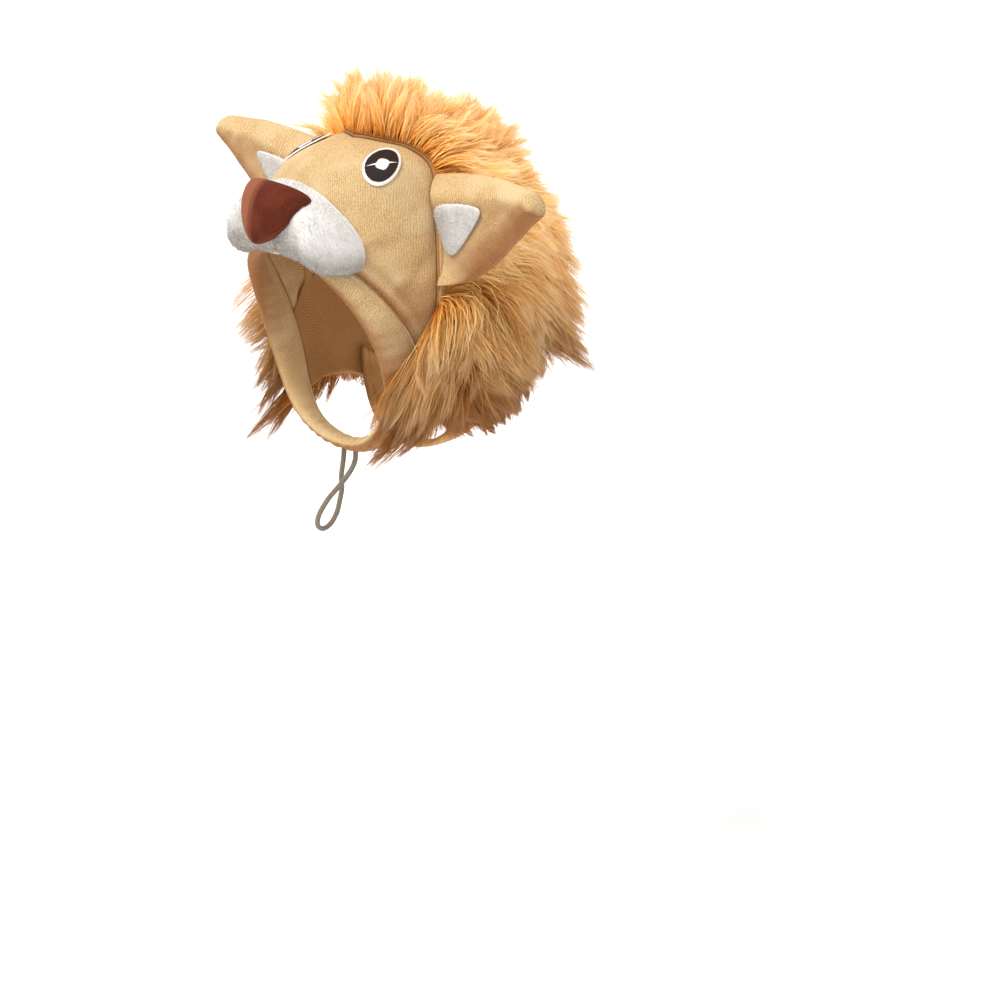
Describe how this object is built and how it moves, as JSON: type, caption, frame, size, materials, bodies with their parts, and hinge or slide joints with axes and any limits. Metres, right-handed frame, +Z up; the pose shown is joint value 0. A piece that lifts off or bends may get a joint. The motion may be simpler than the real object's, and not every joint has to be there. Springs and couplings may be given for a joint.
{
  "type": "lion dog costume hat",
  "caption": "Soft lion hood for a small dog: plush face and ears, long orange mane, hanging drawcord, in its worn form.",
  "frame": {"origin": "inside of the crown, where the hood rests on the head", "axes": "+Z up as worn, the lion looks along -Y, +X is the lion's left side"},
  "size_m": [0.2448, 0.1689, 0.2102],
  "materials": {
    "tan_velour": "matt short-pile polyester velour",
    "white_plush": "matt polyester plush",
    "brown_velour": "matt polyester velour",
    "eye_thread": "satin rayon embroidery",
    "orange_fur": "long acrylic pile with a soft sheen",
    "backing_knit": "matt polyester knit",
    "cord_braid": "satin braided elastic"
  },
  "bodies": {
    "root": {"face_panel": "tan_velour", "face_rim": "tan_velour", "muzzle": "white_plush", "nose": "brown_velour", "eye_left": "eye_thread", "eye_right": "eye_thread", "ear_left": "tan_velour", "ear_right": "tan_velour", "ear_lining_left": "white_plush", "ear_lining_right": "white_plush", "mane_backing": "backing_knit", "mane": "orange_fur", "chin_strap": "tan_velour", "drawcord": "cord_braid"}
  },
  "joints": []
}
